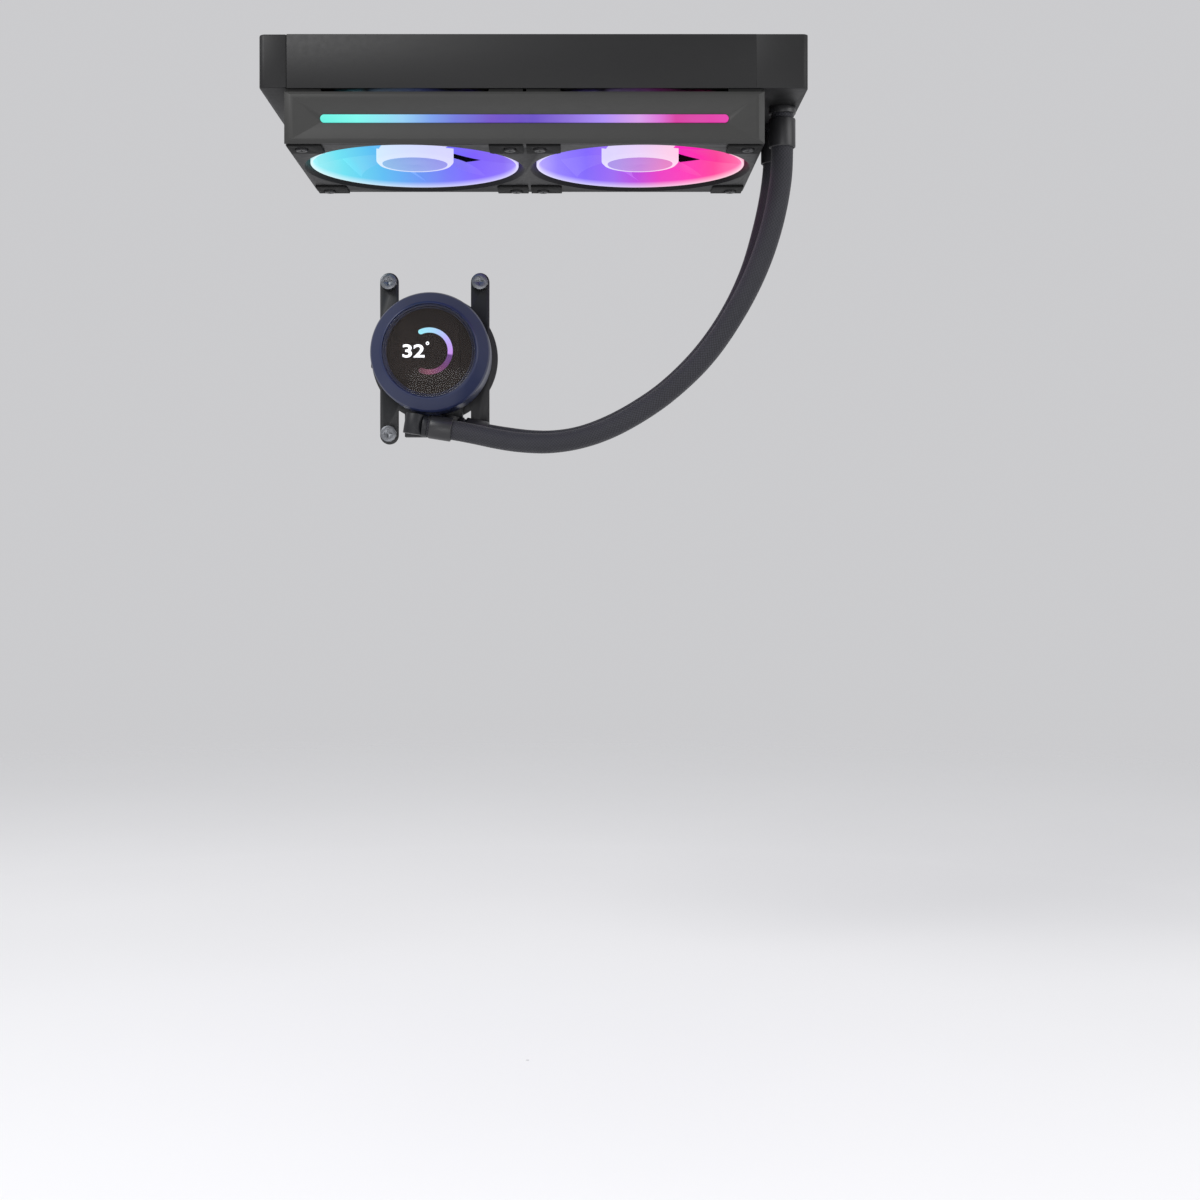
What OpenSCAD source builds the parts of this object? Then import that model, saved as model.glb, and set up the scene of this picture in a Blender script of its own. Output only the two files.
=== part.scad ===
// Sealed liquid cooler: a double-fan radiator, twin hoses and a pump head with a round display.
// X runs along the radiator towards its hoses, Y from the front of the case towards the board
// behind the pump, Z up. The origin is the middle of the case screw pattern on the radiator's top.

/* [Radiator] */
// Width of the radiator across its tubes
radiator_w = 120; // [120:1:124]
// Thickness of the radiator
radiator_t = 27; // [27:1:30]
// Length of the plain tank, where the coolant turns back
return_tank_l = 14; // [12:1:20]
// Length of the tank that carries the hose fittings
hose_tank_l = 26; // [25:1:30]
// Wall thickness of both tanks
tank_wall = 2; // [1.5:0.5:2.5]
// Thickness of the side channels' sheet metal
channel_t = 1.2; // [1:0.1:1.5]
// Number of flat tubes
tube_count = 12; // [4:2:12]
// Distance from one fin crest to the next
fin_pitch = 8; // [6:1:12]

/* [Fans] */
// Thickness of the fan frame
frame_t = 26; // [26:1:28]
// Radius of each air duct
duct_r = 56.3; // [56:0.1:56.6]
// Radius of the fan hubs
hub_r = 20.5; // [20.5:0.1:21]
// Number of blades on each fan
blade_count = 9; // [7:2:11]
// Angle of the blades from flat
blade_pitch = 33; // [28:1:36]
// Length of the light bar
light_bar_l = 204; // [180:1:204]
// Height of the light bar
light_bar_h = 4; // [3:0.5:4]

/* [Pump head] */
// Outer radius of the cover ring
cover_r = 34.5; // [34.5:0.1:35]
// Radius of the display glass
glass_r = 26.85; // [26:0.05:26.85]
// Radius of the pump block
block_r = 31; // [31:0.1:31.2]
// Number of impeller vanes
vane_count = 6; // [4:1:8]

/* [Hoses] */
// Outer diameter of the hoses over their sleeve
hose_d = 11.5; // [10.5:0.5:11.5]
// Radius of the bore through every fitting
fitting_bore_r = 2.9; // [2.5:0.1:3]

/* [Hidden] */
$fn = 64;
// Overshoot of a cut past the face that it opens
cut = 1;

// Standard 120 mm fans: distance between fans and screw holes, and half the frame's size
fan_pitch = 120;
screw_pitch = 105;
frame_half_l = fan_pitch;
frame_half_w = fan_pitch / 2;
screw_x = [7.5, 7.5 + screw_pitch];
screw_y = screw_pitch / 2;
case_hole_r = 1.5;
fan_screw_r = 1.75;
screw_gap = 0.05;

// Radiator core between the tanks
core_x0 = -119;
core_x1 = 116;
core_mid_z = -radiator_t / 2;
rad_half_w = radiator_w / 2;
core_half_w = 47.75;
side_plate_t = 1;
tube_t = 2;
tube_w = 20;
tube_wall = 0.3;
tube_pitch = 2 * core_half_w / (tube_count + 0.733);
tube_overlap = 3.5;
header_t = 1.5;
fin_t = 0.5;
braze_gap = 0.02;
tank_corner_r = 3;
radiator_bottom = -radiator_t;
pad_t = 1;
gap_t = 2;
frame_top = radiator_bottom - gap_t;
frame_bottom = frame_top - frame_t;

// Hose fittings and fill plug under the hose tank
fitting_x = 133.5;
fitting_y = 20;
plug_place = [133, 45, radiator_bottom];
barb_r = 4;
barb_l = 15.5;
flange_h = 3.5;
collar_r = 6.9;
collar_clear = 0.05;

// Heights in a fan, measured down from the frame's top
base_t = 4;
base_r = 20;
board_t = 1.4;
cup_top = -7;
cup_face = -23.5;
cup_wall = 2.2;
cup_floor = cup_face + cup_wall;
boss_r = 3;
boss_top = -20;
magnet_r = 16.9;
blade_low = -21.5;
blade_tip_r = 55.2;
tip_ring_t = 1.2;
tip_ring_low = -24.5;
tip_ring_h = 13;
blade_t = 1.8;
shaft_r = 1.5;
sleeve_r = 3.18;
bearing_tube_r = 4.6;

// Bezel on the near side of the frame
bezel_t = 2.5;
bezel_y = -frame_half_w - bezel_t;
bar_z = frame_top - 13.5;
led_pocket = 1.2;

// Pump head: where its copper face meets the processor, and the way its screws stand
pump_place = [-58, 119, -144];
stud_x = 27;
stud_y = 45;
thread_r = 2.3;
board_gap = 8;
port_x = [-9.5, 10];
port_y = -41;
elbow_z = [38, 24];
elbow_turn = [-9, -12];
shelf_top = 17;
seal_t = 0.6;
block_top = 24;
can_r = 9.6;
chamber_r = 15.5;

// Hose routes, from the radiator's fittings to the pump head's elbows
hose_sides = 10;
supply_route = [
  [133.5, -20, -30.5], [133.5, -20, -48], [132.8, -18.5, -65], [129, -13, -87],
  [122, -3.5, -109], [111, 8, -131], [96, 21, -152.5], [77.5, 34, -170],
  [60.5, 44, -181.5], [43.5, 52.5, -190], [27, 60, -195], [10, 66.5, -197],
  [-7, 72.5, -196], [-20, 76.5, -193.8], [-32.5, 79.6, -191], [-44.8, 81, -188.6],
  [-60.1, 81, -186.2]
];
return_route = [
  [133.5, 20, -30.5], [133.5, 20, -48], [131.8, 20.5, -64], [127.5, 23, -85],
  [121, 27.5, -107], [110.5, 33.5, -129], [96, 41.5, -149.5], [77.5, 51, -167.5],
  [60.5, 59, -179], [43.5, 66.5, -187.5], [28, 74, -192.5], [13.5, 81, -194.3],
  [0, 87.3, -193.8], [-13, 92.3, -192], [-25.5, 95, -189.8], [-40.7, 95, -186.6]
];

// A block from its lowest corner to its highest
module block(low, high) {
  translate(low)
    cube(high - low);
}

// A round bar from z0 up to z1
module rod(r, z0, z1) {
  translate([0, 0, z0])
    cylinder(r = r, h = z1 - z0);
}

// A round tube from z0 up to z1
module tube(r, bore_r, z0, z1) {
  difference() {
    rod(r, z0, z1);
    rod(bore_r, z0 - cut, z1 + cut);
  }
}

// A long slot with round ends, centred, along X
module stadium(length, height) {
  square([length - height, height], center = true);
  for (side = [-1, 1])
    translate([side * (length - height) / 2, 0])
      circle(d = height);
}

// A rectangle with round corners, centred
module round_rect(length, width, r) {
  square([length - 2 * r, width], center = true);
  square([length, width - 2 * r], center = true);
  for (sx = [-1, 1], sy = [-1, 1])
    translate([sx * (length / 2 - r), sy * (width / 2 - r)])
      circle(r = r);
}

// Places children around Z
module around(count) {
  for (i = [0:count - 1])
    rotate([0, 0, i * 360 / count])
      children();
}

// Places children at each screw of the frame
module at_frame_screws() {
  for (sx = [-1, 1], x = screw_x, sy = [-1, 1])
    translate([sx * x, sy * screw_y, 0])
      children();
}

// Places children at one fan's centre, on the frame's top
module at_fan(side) {
  translate([side * fan_pitch / 2, 0, frame_top])
    children();
}

// Places children in the pump head, whose own Z runs from the processor towards the front
module place_pump() {
  translate(pump_place)
    rotate([90, 0, 0])
      children();
}

// ---- Radiator ----

// A sheet-metal channel that opens towards the core, on the side given by its sign
module side_channel(side) {
  mirror([0, side < 0 ? 1 : 0, 0])
    difference() {
      block([core_x0, core_half_w, -radiator_t], [core_x1, rad_half_w, 0]);
      block([core_x0 - cut, core_half_w - cut, channel_t - radiator_t],
            [core_x1 + cut, rad_half_w - channel_t, -channel_t]);
      for (sx = [-1, 1], x = screw_x)
        translate([sx * x, screw_y, 0]) {
          rod(case_hole_r, -channel_t - cut, cut);
          rod(fan_screw_r + screw_gap, -radiator_t - cut, channel_t - radiator_t + cut);
        }
    }
}

module near_side_channel() {
  color([0.12, 0.12, 0.13])
    side_channel(-1);
}

module far_side_channel() {
  color([0.12, 0.12, 0.13])
    side_channel(1);
}

module core_side_plates() {
  color([0.2, 0.2, 0.21])
    for (side = [-1, 1])
      mirror([0, side < 0 ? 1 : 0, 0])
        block([core_x0, core_half_w, channel_t - radiator_t],
              [core_x1, core_half_w + side_plate_t, -channel_t]);
}

function tube_y(i) = (i - (tube_count - 1) / 2) * tube_pitch;

module flat_tubes() {
  color([0.16, 0.16, 0.17])
    for (i = [0:tube_count - 1])
      translate([core_x0 - tube_overlap, tube_y(i), core_mid_z])
        rotate([90, 0, 90])
          linear_extrude(core_x1 - core_x0 + 2 * tube_overlap)
            difference() {
              rotate(90)
                stadium(tube_w, tube_t);
              rotate(90)
                stadium(tube_w - 2 * tube_wall, tube_t - 2 * tube_wall);
            }
}

// Points of a folded strip: out along its upper surface and back along its lower one
function fold_points(length, width) =
  let (folds = floor(length / (fin_pitch / 2)),
       step = length / folds,
       half = width / 2,
       rise = fin_t * sqrt(step * step + width * width) / step)
  concat(
    [for (i = [0:folds]) [i * step, i % 2 == 0 ? rise - half : half]],
    [for (i = [folds:-1:0]) [i * step, i % 2 == 0 ? -half : half - rise]]);

module fin_strip(width) {
  length = core_x1 - core_x0 - 4;
  translate([core_x0 + 2, 0, core_mid_z - tube_w / 2])
    linear_extrude(tube_w)
      polygon(fold_points(length, width - 2 * braze_gap));
}

module fin_strips() {
  gap = tube_pitch - tube_t;
  edge = core_half_w - tube_y(tube_count - 1) - tube_t / 2;
  color([0.1, 0.1, 0.11]) {
    for (i = [0:tube_count - 2])
      translate([0, tube_y(i) + tube_pitch / 2, 0])
        fin_strip(gap);
    for (side = [-1, 1])
      translate([0, side * (core_half_w - edge / 2), 0])
        fin_strip(edge);
  }
}

// A hollow tank that opens towards the core; its length runs along +X from the open end
module tank_shell(length) {
  difference() {
    translate([0, 0, -radiator_t])
      linear_extrude(radiator_t)
        difference() {
          translate([length / 2, 0])
            round_rect(length, radiator_w, tank_corner_r);
          translate([-tank_corner_r, -rad_half_w - cut])
            square([tank_corner_r, radiator_w + 2 * cut]);
        }
    block([-cut, tank_wall - rad_half_w, tank_wall - radiator_t],
          [length - tank_wall, rad_half_w - tank_wall, -tank_wall]);
  }
  // square corners at the open end
  for (side = [-1, 1])
    mirror([0, side < 0 ? 1 : 0, 0])
      difference() {
        block([0, rad_half_w - tank_corner_r, -radiator_t], [tank_corner_r, rad_half_w, 0]);
        block([-cut, rad_half_w - tank_corner_r - cut, tank_wall - radiator_t],
              [tank_corner_r + cut, rad_half_w - tank_wall, -tank_wall]);
      }
}

module hose_end_tank() {
  color([0.13, 0.13, 0.14])
    difference() {
      translate([core_x1, 0, 0])
        tank_shell(hose_tank_l);
      for (side = [-1, 1])
        translate([fitting_x, side * fitting_y, 0])
          rod(barb_r + 0.3, radiator_bottom - cut, radiator_bottom + tank_wall + cut);
      translate(plug_place)
        rod(3.12, -cut, tank_wall + cut);
    }
}

module return_end_tank() {
  color([0.13, 0.13, 0.14])
    translate([core_x0, 0, 0])
      mirror([1, 0, 0])
        tank_shell(return_tank_l);
}

module header_plates() {
  color([0.3, 0.3, 0.31])
    difference() {
      for (x = [core_x0 - header_t, core_x1])
        block([x, tank_wall - rad_half_w, tank_wall - radiator_t],
              [x + header_t, rad_half_w - tank_wall, -tank_wall]);
      for (i = [0:tube_count - 1])
        translate([core_x0 - 2 * tube_overlap, tube_y(i), core_mid_z])
          rotate([90, 0, 90])
            linear_extrude(core_x1 - core_x0 + 4 * tube_overlap)
              rotate(90)
                stadium(tube_w + 2 * braze_gap, tube_t + 2 * braze_gap);
    }
}

// Parts the hose tank into an inlet and an outlet half
module tank_baffle() {
  color([0.3, 0.3, 0.31])
    block([core_x1 + header_t, -tank_wall / 2, tank_wall - radiator_t],
          [core_x1 + hose_tank_l - tank_wall, tank_wall / 2, -tank_wall]);
}

// A hose barb that runs down from z = 0, with two sharp rings that grip the hose
module barb(length) {
  rod(barb_r - 0.3, -length, 0);
  for (z = [-length + 1, -length / 2])
    translate([0, 0, z - 1])
      cylinder(r1 = barb_r - 0.3, r2 = barb_r + 0.2, h = 2);
}

module tank_fittings() {
  color([0.2, 0.2, 0.2])
    for (side = [-1, 1])
      translate([fitting_x, side * fitting_y, radiator_bottom])
        difference() {
          union() {
            rod(7, -flange_h, 0);
            rod(barb_r + 0.28, 0, tank_wall + 1);
            translate([0, 0, -flange_h])
              barb(barb_l);
          }
          rod(fitting_bore_r, -flange_h - barb_l - cut, tank_wall + 1 + cut);
        }
}

module fill_plug() {
  color([0.25, 0.25, 0.25])
    translate(plug_place)
      difference() {
        union() {
          rod(5, -2.8, -0.8);
          rod(3.1, -0.8, tank_wall + 0.5);
        }
        translate([0, 0, -2.8 - cut])
          cylinder(r = 2, h = 1.4 + cut, $fn = 6);
      }
}

module fill_plug_seal() {
  color([0.05, 0.05, 0.05])
    translate(plug_place)
      tube(4.6, 3.15, -0.8, 0);
}

// ---- Fan frame ----

// Outline of one spiral strut between a fan's motor base and its duct
module strut() {
  bow_r = 40;
  intersection() {
    difference() {
      translate([0, bow_r])
        circle(r = bow_r + 1.3);
      translate([0, bow_r])
        circle(r = bow_r - 1.3);
    }
    translate([0, -bow_r / 4])
      square([1.6 * bow_r, 3 * bow_r]);
    difference() {
      circle(r = duct_r + 1);
      circle(r = base_r - 1);
    }
  }
}

// The four hollow corners around one duct, open to the frame's top
module corner_pockets() {
  wall = 2;
  translate([0, 0, 3 - frame_t])
    linear_extrude(frame_t)
      difference() {
        square(fan_pitch - 2 * wall, center = true);
        circle(r = duct_r + 2.3);
        for (sx = [-1, 1], sy = [-1, 1])
          translate([sx * screw_y, sy * screw_y])
            circle(r = 4.6);
      }
}

module motor_mount() {
  rod(base_r, -base_t, 0);
  translate([0, 0, -base_t])
    linear_extrude(base_t)
      for (i = [0:6])
        rotate(i * 360 / 7)
          strut();
  rod(bearing_tube_r, -19, -base_t);
}

module fan_frame() {
  color([0.06, 0.06, 0.07])
    difference() {
      union() {
        difference() {
          translate([0, 0, frame_bottom])
            linear_extrude(frame_t)
              round_rect(2 * frame_half_l, 2 * frame_half_w, 4);
          for (side = [-1, 1])
            at_fan(side) {
              rod(duct_r, -frame_t - cut, cut);
              translate([0, 0, -frame_t])
                cylinder(r1 = duct_r + 2, r2 = duct_r, h = 6);
              corner_pockets();
            }
        }
        for (side = [-1, 1])
          at_fan(side)
            motor_mount();
      }
      at_frame_screws()
        rod(2.15, frame_bottom - cut, frame_top + cut);
      for (side = [-1, 1])
        at_fan(side)
          rod(sleeve_r + 0.02, -19 - cut, -1);
      // pocket for the light bar's board
      translate([0, led_pocket - frame_half_w, bar_z])
        rotate([90, 0, 0])
          linear_extrude(led_pocket + cut)
            stadium(light_bar_l + 4, light_bar_h + 2);
    }
}

// A block along Y between two rectangles, each given by its half length and half height
module tapered(back, y_back, front, y_front, z) {
  polyhedron(
    points = [
      for (end = [[back, y_back], [front, y_front]], corner = [[-1, -1], [1, -1], [1, 1], [-1, 1]])
        [corner[0] * end[0][0], end[1], z + corner[1] * end[0][1]]
    ],
    faces = [[0, 1, 2, 3], [7, 6, 5, 4], [0, 4, 5, 1], [1, 5, 6, 2], [2, 6, 7, 3], [3, 7, 4, 0]]);
}

// Plate with chamfered edges, and a V-shaped hollow that narrows down to the light bar's slot
module frame_bezel() {
  hollow_t = 1.5;
  front = [117, 11.2];
  taper = [2, 1.2];
  mouth = [115.5, 10.2];
  slot = [102, 2];
  flare = (mouth - slot) / hollow_t;
  color([0.27, 0.27, 0.27])
    difference() {
      intersection() {
        block([-frame_half_l, bezel_y - cut, frame_bottom],
              [frame_half_l, -frame_half_w, frame_top]);
        tapered(front + taper * (bezel_t + cut), -frame_half_w + cut, front, bezel_y,
                frame_bottom + frame_t / 2);
      }
      tapered(slot, bezel_y + hollow_t, slot + flare * (hollow_t + cut), bezel_y - cut, bar_z);
      translate([0, cut - frame_half_w, bar_z])
        rotate([90, 0, 0])
          linear_extrude(bezel_t + 2 * cut)
            stadium(light_bar_l + 0.2, light_bar_h + 0.2);
    }
}

module light_bar_lens() {
  color([0.75, 0.8, 1])
    translate([0, -frame_half_w, bar_z])
      rotate([90, 0, 0])
        linear_extrude(bezel_t - 0.7)
          stadium(light_bar_l, light_bar_h);
}

// Circuit strip behind the lens, with a row of light chips on it
module light_bar_board() {
  chips = 24;
  board = 0.6;
  back = led_pocket - frame_half_w;
  color([0.1, 0.25, 0.15])
    union() {
      block([-light_bar_l / 2, back - board, bar_z - 2.5], [light_bar_l / 2, back, bar_z + 2.5]);
      for (i = [0:chips - 1])
        translate([(i + 0.5 - chips / 2) * (light_bar_l - 8) / chips, back - board - 0.5, bar_z - 1])
          cube([3, 0.6, 2]);
    }
}

// Outlines of the four corner pads of one fan, cut round the duct and the screws
module pad_outlines() {
  difference() {
    for (sx = [-1, 1], sy = [-1, 1])
      translate([sx * 50.6, sy * 50.6])
        square(17.2, center = true);
    circle(r = 60.5);
    for (sx = [-1, 1], sy = [-1, 1])
      translate([sx * screw_y, sy * screw_y])
        circle(r = 3.4);
  }
}

// Soft pads below each fan's corners, and thicker ones that hold the frame off the radiator
module corner_pads() {
  color([0.08, 0.08, 0.08])
    for (side = [-1, 1])
      at_fan(side) {
        translate([0, 0, -frame_t - pad_t])
          linear_extrude(pad_t)
            pad_outlines();
        linear_extrude(gap_t)
          pad_outlines();
      }
}

module fan_screws() {
  color([0.15, 0.15, 0.16])
    at_frame_screws()
      difference() {
        union() {
          rod(2.8, frame_bottom - 2, frame_bottom);
          rod(fan_screw_r, frame_bottom, radiator_bottom + 2.7);
        }
        for (turn = [0, 90])
          rotate([0, 0, turn])
            block([-1.8, -0.4, frame_bottom - 2 - cut], [1.8, 0.4, frame_bottom - 1]);
      }
}

// Socket for the fans' cable, with its pins inside
module socket(size, wall, pins) {
  difference() {
    translate([0, -size[1] / 2, -size[2] / 2])
      cube(size);
    translate([1, wall - size[1] / 2, wall - size[2] / 2])
      cube([size[0], size[1] - 2 * wall, size[2] - 2 * wall]);
  }
  for (i = [0:pins - 1])
    translate([0.5, (i + 0.5 - pins / 2) * (size[1] - 2 * wall) / pins - 0.3, -0.3])
      cube([size[0] - 1, 0.6, 0.6]);
}

module fan_cable_socket() {
  color([0.15, 0.15, 0.15])
    translate([-frame_half_l, 37, frame_top - 13])
      mirror([1, 0, 0])
        socket([3, 14, 8], 1.2, 4);
}

// ---- Fan motors ----

module bearing_sleeves() {
  color([0.75, 0.6, 0.3])
    for (side = [-1, 1])
      at_fan(side)
        tube(sleeve_r, shaft_r + 0.03, -19, -3);
}

// Light chips on both motor boards, which shine into the hubs
module hub_leds() {
  color([0.95, 0.95, 0.9])
    for (side = [-1, 1])
      at_fan(side)
        around(12)
          translate([17.2, -1, -base_t - board_t - 0.8])
            cube([2, 2, 0.8]);
}

// Pitched plates, trimmed to a ring between the hub and the duct
module fan_blades() {
  height = cup_top - blade_low;
  chord = height / sin(blade_pitch) + 2 * blade_t;
  intersection() {
    tube(blade_tip_r, hub_r - 0.5, blade_low, cup_top);
    around(blade_count)
      translate([0, 0, (cup_top + blade_low) / 2])
        rotate([blade_pitch, 0, 0])
          translate([hub_r / 2, -chord / 2, -blade_t / 2])
            cube([blade_tip_r, chord, blade_t]);
  }
}

module fan_rotor() {
  inner_r = hub_r - cup_wall;
  rotate_extrude()
    polygon([
      [0, cup_face], [inner_r, cup_face], [hub_r, cup_floor], [hub_r, cup_top],
      [inner_r, cup_top], [inner_r, cup_floor], [boss_r, cup_floor], [boss_r, boss_top],
      [shaft_r, boss_top], [shaft_r, cup_floor], [0, cup_floor]
    ]);
  fan_blades();
  tube(blade_tip_r, blade_tip_r - tip_ring_t, tip_ring_low, tip_ring_low + tip_ring_h);
}

module rotor_yoke() {
  yoke_t = 0.8;
  difference() {
    rod(magnet_r + yoke_t, cup_floor, -8);
    rod(magnet_r, cup_floor + yoke_t, -8 + cut);
    rod(boss_r, cup_floor - cut, boss_top);
  }
}

module stator_core() {
  difference() {
    union() {
      rod(8, -18, -10);
      around(4) {
        block([4, -2.2, -18], [12.5, 2.2, -10]);
        intersection() {
          tube(14, 12, -18, -10);
          block([0, -7.5, -18], [15, 7.5, -10]);
        }
      }
    }
    rod(bearing_tube_r + 0.02, -18 - cut, -10 + cut);
  }
}

module stator_coils() {
  around(4)
    difference() {
      block([8.2, -4, -19.5], [11.2, 4, -8.5]);
      block([8.2 - cut, -2.22, -18.02], [11.2 + cut, 2.22, -9.98]);
    }
}

module motor_board() {
  difference() {
    rod(base_r - 0.5, -base_t - board_t, -base_t);
    rod(bearing_tube_r + 0.2, -base_t - board_t - cut, -base_t + cut);
  }
}

module left_fan_rotor() {
  color([0.45, 0.65, 1])
    at_fan(-1)
      fan_rotor();
}

module right_fan_rotor() {
  color([1, 0.3, 0.8])
    at_fan(1)
      fan_rotor();
}

module left_rotor_yoke() {
  color([0.5, 0.5, 0.52])
    at_fan(-1)
      rotor_yoke();
}

module right_rotor_yoke() {
  color([0.5, 0.5, 0.52])
    at_fan(1)
      rotor_yoke();
}

module left_rotor_magnet() {
  color([0.2, 0.2, 0.2])
    at_fan(-1)
      tube(magnet_r, magnet_r - 1.9, boss_top - 0.5, -9);
}

module right_rotor_magnet() {
  color([0.2, 0.2, 0.2])
    at_fan(1)
      tube(magnet_r, magnet_r - 1.9, boss_top - 0.5, -9);
}

module left_rotor_shaft() {
  color([0.7, 0.7, 0.72])
    at_fan(-1)
      rod(shaft_r, cup_floor, -3.5);
}

module right_rotor_shaft() {
  color([0.7, 0.7, 0.72])
    at_fan(1)
      rod(shaft_r, cup_floor, -3.5);
}

module left_stator_core() {
  color([0.45, 0.45, 0.48])
    at_fan(-1)
      stator_core();
}

module right_stator_core() {
  color([0.45, 0.45, 0.48])
    at_fan(1)
      stator_core();
}

module left_stator_coils() {
  color([0.72, 0.4, 0.2])
    at_fan(-1)
      stator_coils();
}

module right_stator_coils() {
  color([0.72, 0.4, 0.2])
    at_fan(1)
      stator_coils();
}

module left_motor_board() {
  color([0.1, 0.3, 0.18])
    at_fan(-1)
      motor_board();
}

module right_motor_board() {
  color([0.1, 0.3, 0.18])
    at_fan(1)
      motor_board();
}

// ---- Pump head ----

// Copper base with fine fins inside the ring of its screws
module cold_plate() {
  plate_t = 3;
  fin_room_r = 17.5;
  color([0.8, 0.48, 0.3])
    place_pump()
      difference() {
        union() {
          rod(28, 0, plate_t);
          intersection() {
            rod(fin_room_r, plate_t - 0.5, plate_t + 2.5);
            for (i = [-11:11])
              block([i * 1.5 - 0.35, -fin_room_r, plate_t - 0.5],
                    [i * 1.5 + 0.35, fin_room_r, plate_t + 2.5]);
          }
        }
        around(8)
          translate([24.5, 0, 0]) {
            rod(1.1, -cut, plate_t + cut);
            rod(2.2, -cut, 1.6);
          }
      }
}

module cold_plate_screws() {
  color([0.6, 0.6, 0.62])
    place_pump()
      around(8)
        translate([24.5, 0, 0])
          difference() {
            union() {
              rod(2, 0.2, 1.6);
              rod(1, 1.6, 8);
            }
            translate([0, 0, 0.2 - cut])
              cylinder(r = 1, h = 0.8 + cut, $fn = 6);
          }
}

module cold_plate_gasket() {
  color([0.05, 0.05, 0.05])
    place_pump()
      translate([0, 0, 4])
        rotate_extrude()
          translate([20.5, 0])
            circle(r = 1, $fn = 24);
}

// Space inside the pump block: plenum over the cold plate, pump chamber, can and stator room
module block_hollows() {
  rod(18, 3 - cut, 6);
  tube(21.6, 19.4, 3 - cut, 5.1);
  difference() {
    rod(5, 5.5, 8);
    rod(2, 5, 9);
    around(3)
      block([0, -0.8, 5], [6, 0.8, 7.5]);
  }
  rod(1, 6.5, 10);
  rod(chamber_r, 7.5, 13.5);
  rod(can_r, 13, 23);
  rod(1, 22, 23.5);
  tube(27, can_r + 1.2, 14.5, block_top + cut);
  around(8)
    translate([24.5, 0, 0])
      rod(1.02, 3 - cut, 8.5);
}

// Channels from the two elbow sockets: one into the pump chamber, one down to the plenum
module block_channels() {
  way_z = 11.7;
  way_r = 2.2;
  for (x = port_x)
    translate([x, port_y, 0])
      rod(barb_r - 0.15, shelf_top - 4, shelf_top + cut);
  for (x = port_x)
    translate([x, port_y, 0])
      rod(way_r, way_z, shelf_top - 3);
  translate([port_x[0], port_y, way_z])
    rotate([-90, 0, 0])
      rod(way_r, 0, -port_y - 8);
  translate([port_x[1], port_y, way_z])
    rotate([-90, 0, 0])
      rod(way_r, 0, -port_y - 14.9);
  translate([port_x[1], -14.9, 0])
    rod(way_r - 0.2, 5, way_z);
}

module pump_block() {
  color([0.09, 0.09, 0.1])
    place_pump()
      difference() {
        union() {
          rod(block_r, 3, block_top);
          rod(cover_r - 2.3, 20, 23);
          // lugs under the bracket
          intersection() {
            rod(block_r + 3, 3.3, 5.8);
            for (turn = [0, 90])
              rotate([0, 0, turn])
                block([-40, -6, 3.3], [40, 6, 5.8]);
          }
          // shelf with the elbow sockets
          difference() {
            block([-17, -47, 9.2], [17, -24, shelf_top]);
            rod(28, 0, 40);
          }
        }
        block_hollows();
        block_channels();
      }
}

module impeller() {
  color([0.85, 0.85, 0.8])
    place_pump()
      difference() {
        union() {
          rod(3, 8, 22);
          rod(14.5, 8, 9.5);
          around(vane_count)
            intersection() {
              block([0, 0, 9], [16, 16, 12.5]);
              translate([7, 0, 0])
                tube(7.5, 6.5, 9, 12.5);
            }
        }
        rod(1.04, 7, 23);
      }
}

module impeller_magnet() {
  color([0.2, 0.2, 0.2])
    place_pump()
      tube(8.8, 3.02, 13.7, 22);
}

module impeller_shaft() {
  color([0.9, 0.9, 0.88])
    place_pump()
      rod(1, 6.5, 23.5);
}

module pump_stator() {
  color([0.45, 0.45, 0.48])
    place_pump()
      difference() {
        union() {
          tube(26.8, 22, 15.5, 21.5);
          around(6)
            block([11.4, -2, 15.5], [23, 2, 21.5]);
        }
        rod(11.2, 15, 22);
      }
}

module pump_coils() {
  color([0.72, 0.4, 0.2])
    place_pump()
      around(6)
        difference() {
          block([14, -3.8, 14.7], [20, 3.8, 22.3]);
          block([14 - cut, -2.02, 15.48], [20 + cut, 2.02, 21.52]);
        }
}

module pump_board() {
  color([0.1, 0.3, 0.18])
    place_pump()
      rod(30, block_top, block_top + 1.6);
}

// Plastic ring between the pump's board and the display's board
module display_carrier() {
  color([0.12, 0.12, 0.12])
    place_pump()
      tube(27.3, 25, block_top + 1.6, 44.7);
}

module display_board() {
  color([0.1, 0.3, 0.18])
    place_pump()
      rod(27.5, 44.7, 46.3);
}

module display_panel() {
  panel = 34;
  color([0.05, 0.04, 0.05])
    place_pump()
      block([-panel / 2, -panel / 2, 46.3], [panel / 2, panel / 2, 49.3]);
}

// Round glass with a slightly domed face, whose profile is an arc of a large circle
module display_glass() {
  dome_r = 180;
  crown = 54;
  steps = 10;
  color([0.1, 0.07, 0.08])
    place_pump()
      rotate_extrude()
        polygon(concat(
          [[0, 49.8], [glass_r, 49.8]],
          [for (i = [steps:-1:0])
            let (r = glass_r * i / steps) [r, crown - dome_r + sqrt(dome_r * dome_r - r * r)]]));
}

// Bevelled ring: a straight skirt, a sloped front and a step that holds the glass
module cover_ring() {
  wall = 2.2;
  color([0.12, 0.13, 0.22])
    place_pump()
      rotate_extrude()
        polygon([
          [cover_r, 18], [cover_r, 43.5], [cover_r - 0.9, 46], [27.4, 52.4], [glass_r + 0.1, 52.4],
          [glass_r + 0.1, 49.8], [24.5, 49.8], [24.5, 48.4], [26.2, 48.4],
          [cover_r - wall, 42.8], [cover_r - wall, 18]
        ]);
}

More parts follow.
